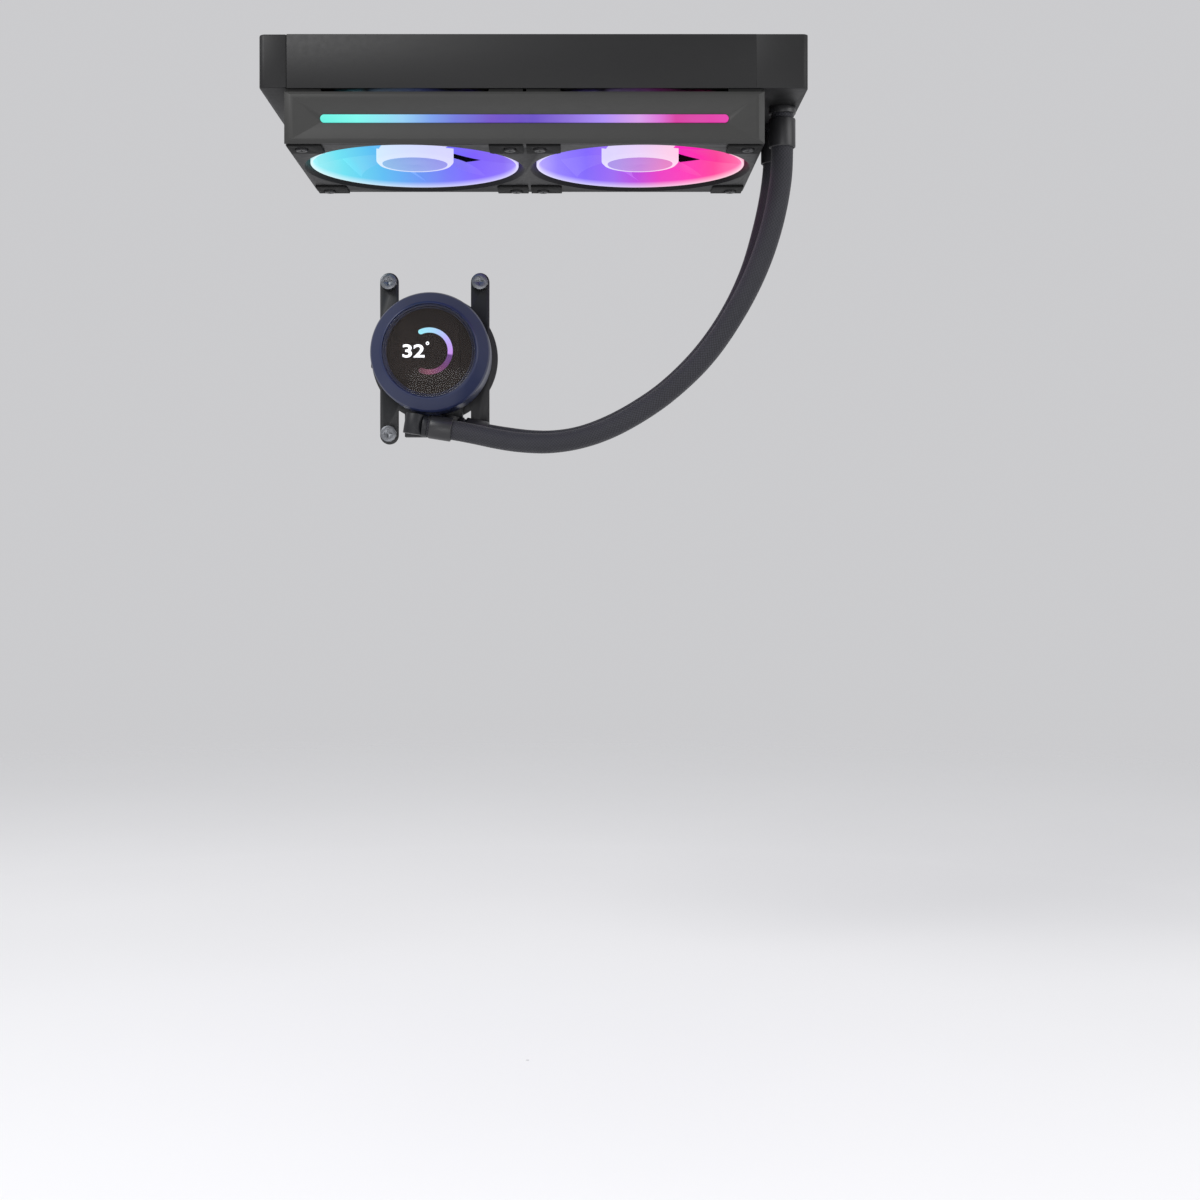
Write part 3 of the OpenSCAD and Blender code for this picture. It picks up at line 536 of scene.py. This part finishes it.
def sleeved_hose(name, points, node):
    """A tube along a route, with its braid's strands: a = strands * (turns * along + angle) counts
    one family and b = strands * (turns * along - angle) the other. Where sin(pi a) and sin(pi b)
    have one sign the first is on top, and the wall rises as |sin| of the upper one."""
    route = smooth_route(np.array(points) * MM, 0.52 * MM)
    side, up = cross_frame(route)
    sides = 120
    angle = np.linspace(0, 1, sides, endpoint=False)[None, :]
    along = np.linspace(0, 1, len(route))[:, None]
    first = np.sin(np.pi * STRANDS * (along * BRAID_TURNS + angle))
    second = np.sin(np.pi * STRANDS * (along * BRAID_TURNS - angle))
    lift = np.abs(np.where(first * second > 0, first, second)) ** 0.6
    radius = (HOSE_D / 2 - 0.25 * MM + 0.25 * MM * lift)[..., None]
    turn = 2 * np.pi * angle[..., None]
    rings = route[:, None] + radius * (np.cos(turn) * side[:, None] + np.sin(turn) * up[:, None])
    hose = piece(name, Shape().tube(rings), sleeve, COOLER, (node,), 80)
    return hose


sleeved_hose("supply_hose_sleeve", SUPPLY_ROUTE, "supply_hose")
sleeved_hose("return_hose_sleeve", RETURN_ROUTE, "return_hose")

# ---------------------------------------------------------------- radiator

softened("hose_end_tank", 0.8 * MM, black_coat)
softened("return_end_tank", 0.8 * MM, black_coat)
softened("near_side_channel", 0.4 * MM, black_coat)
softened("far_side_channel", 0.4 * MM, black_coat)
softened("tank_fittings", 0.4 * MM, fitting_coat)
softened("fill_plug", 0.4 * MM, fitting_coat)


def folded_fins():
    """Corrugated strips between the tubes: each is a thin wall along y = w/2 * clip(1.5 sin), cut
    square at its top and bottom, with a wall of even thickness on both sides of that line."""
    low, high = (np.array(c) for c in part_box("fin_strips"))
    tubes_low, tubes_high = (np.array(c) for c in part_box("flat_tubes"))
    tube_count, tube_t, fold, wall = 12, 2 * MM, 2.6 * MM, 0.07 * MM
    pitch = (tubes_high[1] - tubes_low[1] - tube_t) / (tube_count - 1)
    periods = int((high[0] - low[0]) / fold)
    phase = np.linspace(0, periods, periods * 12 + 1)
    x = low[0] + phase * (high[0] - low[0]) / periods
    middles = tubes_low[1] + tube_t / 2 + pitch * (np.arange(tube_count + 1) - 0.5)
    half = (pitch - tube_t) / 2 - wall - 0.05 * MM
    shape = Shape()
    for middle in middles:
        inside = np.clip(middle, low[1] + half + wall, high[1] - half - wall)
        y = inside + half * np.clip(1.5 * np.sin(2 * np.pi * phase), -1, 1)
        line = np.stack([x, y], axis=1)
        way = np.gradient(line, axis=0)
        out = np.stack([-way[:, 1], way[:, 0]], axis=1)
        out *= wall / np.linalg.norm(out, axis=1, keepdims=True)
        near, far = line - out, line + out
        corners = [(near, low[2]), (far, low[2]), (far, high[2]), (near, high[2])]
        wrap = [np.column_stack([edge, np.full(len(edge), z)]) for edge, z in corners]
        shape.tube(np.stack(wrap, axis=1))
    return piece("folded_fins", shape, core_coat, COOLER, ("fin_strips",), 20)


folded_fins()

# ---------------------------------------------------------------- fan frame

softened("fan_frame", 0.5 * MM, frame_plastic)
softened("frame_bezel", 0.35 * MM, bezel_plastic, angle=4)
softened("corner_pads", 0.3 * MM, soft_rubber)
softened("fan_screws", 0.3 * MM, fitting_coat)
softened("fan_cable_socket", 0.2 * MM, frame_plastic)


def light_bar():
    """A milky bar with round ends and a softly domed front: rings of its outline drawn in towards
    its long middle line, each a little further forward, as a quarter circle."""
    low, high = (np.array(c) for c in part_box("light_bar_lens"))
    middle, half_l, half_h = (low + high) / 2, (high[0] - low[0]) / 2, (high[2] - low[2]) / 2
    crown = 0.5 * MM
    angle = np.linspace(0, 2 * np.pi, 64, endpoint=False)
    reach = np.where(np.cos(angle) >= 0, half_l - half_h, half_h - half_l)
    shape = Shape()
    rings = [(1.0, high[1])]
    rings += [(math.cos(t), low[1] + crown * (1 - math.sin(t))) for t in np.linspace(0, 1.5, 9)]
    grid = []
    for share, y in rings:
        x = middle[0] + reach + share * half_h * np.cos(angle)
        z = middle[2] + share * half_h * np.sin(angle)
        grid.append(np.stack([x, np.full(len(x), y), z], axis=1))
    shape.tube(np.array(grid))
    finish = glow_finish("bar_glow", BAR_GLOW, low[0], high[0], strength=0.95, base=0.1)
    return piece("light_bar_lens_lit", shape, finish, COOLER, ("light_bar_lens",))


light_bar()

# ---------------------------------------------------------------- fan rotors

BLADES = 9


def rotor(side, stops):
    """Lights up one fan: hub cup with a rounded rim, nine twisted blades and their tip ring."""
    node, body = side + "_fan_rotor", side + "_fan"
    low, high = (np.array(c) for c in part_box(node))
    middle = (low + high) / 2
    centre = np.array([middle[0], middle[1], 0])
    face_z, top_z = low[2] + 1 * MM, high[2]
    hub_r, ring_r = 20.5 * MM, (high[0] - low[0]) / 2
    wall = 2.2 * MM
    face_r = hub_r - 3.2 * MM

    def glow(part, **looks):
        return glow_finish(f"{side}_{part}_glow", stops, low[0], high[0], **looks)

    def put(name, shape, finish, crease=35, replaced=()):
        shape.points = [points + centre for points in shape.points]
        piece(f"{side}_{name}", shape, finish, body, replaced, crease)

    # side wall of the hub, with a round shoulder, and the flat face inside it
    shoulder = rounded([
        (hub_r - 1.6 * MM, face_z), (hub_r, face_z + 1.6 * MM), (hub_r, top_z),
        (hub_r - wall, top_z), (hub_r - wall, face_z + wall + 1 * MM),
        (face_r, face_z + wall), (face_r, face_z),
    ], 1.2 * MM, 5)
    wall_glow = glow("wall", pale=0.62, strength=1.0)
    put("hub_wall", Shape().turned(shoulder, 128), wall_glow, 35, (node,))
    inner, sunk = 0.01 * MM, face_z + 0.1 * MM
    face = rounded([
        (inner, sunk), (face_r, sunk), (face_r, face_z + wall), (inner, face_z + wall),
    ], 0.25 * MM, 3)
    put("hub_face", Shape().turned(face, 128), glow("face", pale=0.18, strength=0.82))

    # blades: each section is a thin aerofoil on a screw surface, swept from the hub to the ring.
    # Its root starts inside the hub's wall, where share would be negative, so it is held at 0
    count_r, count_s = 28, 40
    radius = np.linspace(hub_r - 0.8 * MM, ring_r - 0.6 * MM, count_r)[:, None]
    share = np.clip((radius - hub_r) / (ring_r - hub_r), 0, 1)
    around = np.linspace(0, 2 * np.pi, count_s, endpoint=False)[None, :]
    chord = (1 + np.cos(around)) / 2
    thick = (1.5 - 0.5 * share) * MM * np.sqrt(np.clip(chord * (1 - chord), 0, None)) * 2
    height = (8.8 + 4.4 * share) * MM
    arc = 24 * MM
    spread = arc / radius
    sweep = -0.35 * share**1.5
    slope = np.arctan2(height, arc)
    camber = 1.1 * MM * 4 * chord * (1 - chord)
    off = thick * np.sin(around) / 2 + camber
    z = top_z - 1.2 * MM - (1 - chord) * height + off * np.cos(slope)
    turn = (chord - 0.5) * spread + sweep - off * np.sin(slope) / radius
    blades = Shape()
    for k in range(BLADES):
        angle = turn + 2 * math.pi * k / BLADES
        blades.tube(np.stack([radius * np.cos(angle), radius * np.sin(angle), z], axis=-1))
    # The blades get a painted highlight on their far side
    put("blades", blades, glow("blade", strength=0.98, far_pale=0.08), 50)

    # ring that joins the blade tips
    ring_low, ring_high, ring_t = low[2], low[2] + 13 * MM, 1.2 * MM
    ring = rounded([
        (ring_r - ring_t, ring_low), (ring_r, ring_low),
        (ring_r, ring_high), (ring_r - ring_t, ring_high),
    ], 0.5 * MM, 4)
    # The tip ring gets a painted highlight band along its lower edge
    put("tip_ring", Shape().turned(ring, 192), glow("ring", pale=0.03, strength=0.98, rim=ring_low))


rotor("left", LEFT_GLOW)
rotor("right", RIGHT_GLOW)

# ---------------------------------------------------------------- pump head

plate_low, plate_high = (np.array(c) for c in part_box("cold_plate"))
pump_x, pump_z = (plate_low[0] + plate_high[0]) / 2, (plate_low[2] + plate_high[2]) / 2
pump_y = plate_high[1]


def in_pump(shape):
    """Moves a shape from the pump head's own axes, whose third runs to the front, to the frame."""
    shape.points = [
        np.stack([pump_x + p[:, 0], pump_y - p[:, 2], pump_z + p[:, 1]], axis=1) for p in shape.points
    ]
    return shape


def cover_ring():
    """A straight skirt, a sloped front with soft shoulders, and the step that holds the glass."""
    outline = rounded(np.array([
        (34.5, 18), (34.5, 43.6), (33.7, 45.8), (28.2, 51.9), (27.4, 52.4), (26.95, 52.4),
        (26.95, 49.8), (24.5, 49.8), (24.5, 48.4), (26.2, 48.4), (32.3, 42.8), (32.3, 18),
    ]) * MM, 1.6 * MM, 6)
    piece("cover_ring_shell", in_pump(Shape().turned(outline, 192)), ring_coat_painted_blue_glow,
          COOLER, ("cover_ring",))


def display_glass():
    """A domed disc: its front follows a circle of 180 mm radius, its rim is ground round."""
    radius, back, crown, dome, round_r = 26.85 * MM, 49.8 * MM, 54 * MM, 180 * MM, 0.5 * MM
    r = np.linspace(0.01 * MM, radius - round_r, 24)
    front = np.stack([r, crown - dome + np.sqrt(dome**2 - r**2)], axis=1)
    bend = np.linspace(0, np.pi / 2, 7)[1:]
    turned_in = [round_r * (1 - np.sin(bend)), round_r * (1 - np.cos(bend))]
    edge = np.stack([radius - turned_in[0], front[-1, 1] - turned_in[1]], axis=1)
    outline = np.vstack([front, edge, [(radius, back), (0.01 * MM, back)]])
    glass = piece("display_glass_disc", in_pump(Shape().turned(outline, 128)), glass_finish(),
                  COOLER, ("display_glass",), 30)
    glass.visible_shadow = False


def dial_arc():
    """A band of the dial: half as wide as its round ends, which run from upper left round the
    right side to lower left."""
    start, end, radius, half, z = 121, -120, 12.0, 1.45, 49.33
    angle = np.radians(np.linspace(start, end, 120))
    along = np.abs(angle - (angle[0] + angle[-1]) / 2) * radius
    left = (np.max(along) - along).clip(0, half)
    width = np.sqrt(np.clip(half**2 - (half - left) ** 2, 0.0004, None))[:, None]
    angle = angle[:, None]
    steps = np.array([-1, 1, 1, -1])[None, :]
    level = z + np.array([0, 0, 0.1, 0.1])[None, :] + 0 * angle
    r = radius + width * steps
    grid = np.stack([r * np.cos(angle), r * np.sin(angle), level], axis=-1) * MM
    piece("dial_arc", in_pump(Shape().tube(grid)), arc_finish())


def figures():
    """The reading on the dial, two digits with a small degree ring."""
    text = bpy.data.curves.new("reading", "FONT")
    text.body = "32"
    text.extrude = 0.01
    text.offset = 0.022
    holder = bpy.data.objects.new("reading", text)
    bpy.context.scene.collection.objects.link(holder)
    shown = holder.evaluated_get(bpy.context.evaluated_depsgraph_get())
    mesh = bpy.data.meshes.new_from_object(shown)
    bpy.data.objects.remove(holder)
    points = np.empty(len(mesh.vertices) * 3)
    mesh.vertices.foreach_get("co", points)
    points = points.reshape(-1, 3)
    low, high = points.min(axis=0), points.max(axis=0)
    target_low, target_high = np.array([-15.3, -3.8, 49.33]), np.array([-2.7, 3.8, 49.43])
    points = (target_low + (points - low) / (high - low) * (target_high - target_low)) * MM
    points = np.stack([pump_x + points[:, 0], pump_y - points[:, 2], pump_z + points[:, 1]], axis=1)
    mesh.vertices.foreach_set("co", points.ravel())
    white = figure_finish("lit_figures", (0.95, 0.96, 1.0), 1.7)
    finished("dial_reading", mesh, white, COOLER, (), 30)
    ring = rounded([(0.45, 49.33), (1.0, 49.33), (1.0, 49.43), (0.45, 49.43)], 0.02, 2) * MM
    degree = Shape().turned(ring, 32)
    degree.points = [p + np.array([-1.0, 4.4, 0]) * MM for p in degree.points]
    piece("dial_degree", in_pump(degree), white)


cover_ring()
display_glass()
dial_arc()
figures()
softened("pump_block", 0.4 * MM, pump_plastic)
softened("mounting_bracket", 0.4 * MM, bracket_coat)
softened("thumb_nuts", 0.25 * MM, nut_plate)
softened("bracket_standoffs", 0.3 * MM, steel)
softened("pump_cable_socket", 0.2 * MM, frame_plastic)
softened("left_elbow", 0.3 * MM, pump_plastic)
softened("right_elbow", 0.3 * MM, pump_plastic)
softened("hose_collars", 0.5 * MM, fitting_coat)
softened("cold_plate", 0.3 * MM, bare_copper)

# ---------------------------------------------------------------- CAD nodes that stay

KEPT = {
    core_coat: ["core_side_plates", "flat_tubes"],
    bare_aluminium: ["header_plates", "tank_baffle"],
    soft_rubber: ["fill_plug_seal", "cold_plate_gasket", "elbow_seals"],
    circuit: ["light_bar_board", "left_motor_board", "right_motor_board", "pump_board"],
    chip_finish: ["hub_leds"],
    bronze: ["bearing_sleeves"],
    steel: [
        "left_rotor_yoke", "right_rotor_yoke", "left_rotor_shaft", "right_rotor_shaft",
        "left_stator_core", "right_stator_core", "pump_stator", "cold_plate_screws",
    ],
    ferrite: ["left_rotor_magnet", "right_rotor_magnet", "impeller_magnet"],
    copper_wire: ["left_stator_coils", "right_stator_coils", "pump_coils"],
    pump_plastic: ["display_carrier"],
    pale_plastic: ["impeller"],
    ceramic: ["impeller_shaft"],
    panel_face: ["display_panel", "display_board"],
}
for finish, nodes in KEPT.items():
    for node in nodes:
        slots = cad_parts[node].data.materials
        slots.clear()
        slots.append(finish.material)

# ---------------------------------------------------------------- stage and light


FLOOR_Z = -0.53


def floor():
    """A wide pale disc far below the cooler, which fades into the backdrop towards its rim."""
    finish = Finish("pale_floor", {"Roughness": 0.8})
    mottle = finish.noise(0.4, 2)
    finish.feed("Base Color", finish.blend(mottle, (0.86, 0.86, 0.87), (0.92, 0.92, 0.93)))
    x, y, _ = finish.split(finish.place())
    away = (x * x + y * y).math("SQRT", x * x + y * y)
    fade = ((away - 0.7) / 1.2).math("MINIMUM", (away - 0.7) / 1.2, 1.0)
    fade = fade.math("MAXIMUM", fade, 0.0)
    clear = finish.node("BsdfTransparent")
    out = finish.tree.nodes["Material Output"]
    solid = Link(finish, finish.shader.outputs[0])
    mixed = finish.node("MixShader", None, {0: fade, 1: solid, 2: clear})
    finish.tree.links.new(mixed.socket, out.inputs["Surface"])
    radius = np.linspace(0.001, 3.0, 24)[:, None]
    angle = np.linspace(0, 2 * np.pi, 64, endpoint=False)[None, :]
    level = FLOOR_Z + 0 * (radius + angle)
    grid = np.stack([radius * np.cos(angle), radius * np.sin(angle), level], -1)
    mesh = bpy.data.meshes.new("floor")
    shape = Shape().add(grid, close_columns=True)
    mesh.from_pydata(shape.points[0], [], shape.faces[0].tolist())
    mesh.materials.append(finish.material)
    disc = bpy.data.objects.new("floor", mesh)
    bpy.context.scene.collection.objects.link(disc)


def softbox(name, place, aim, size, power, colour=(1, 1, 1)):
    """A square area light at a place, turned towards a point."""
    light = bpy.data.lights.new(name, "AREA")
    light.size = size
    light.energy = power
    light.color = colour
    lamp = bpy.data.objects.new(name, light)
    bpy.context.scene.collection.objects.link(lamp)
    lamp.location = place
    way = np.array(aim) - np.array(place)
    lamp.rotation_euler = (
        math.atan2(math.hypot(way[0], way[1]), -way[2]), 0, math.atan2(way[1], way[0]) - math.pi / 2
    )


def studio():
    """A pale backdrop all round with two large soft lights."""
    world = bpy.data.worlds.new("studio")
    world.use_nodes = True
    world.node_tree.nodes["Background"].inputs["Color"].default_value = (0.8, 0.8, 0.82, 1)
    world.node_tree.nodes["Background"].inputs["Strength"].default_value = 0.75
    bpy.context.scene.world = world
    softbox("key", (-0.9, -1.1, 0.9), (0, 0, -0.08), 0.9, 20)
    softbox("fill", (1.1, -0.6, 0.1), (0, 0, -0.1), 0.8, 5)
    softbox("low", (0.0, -0.9, -0.45), (0, 0, -0.05), 0.6, 2)
    bpy.context.scene.view_settings.view_transform = "Standard"


floor()
studio()
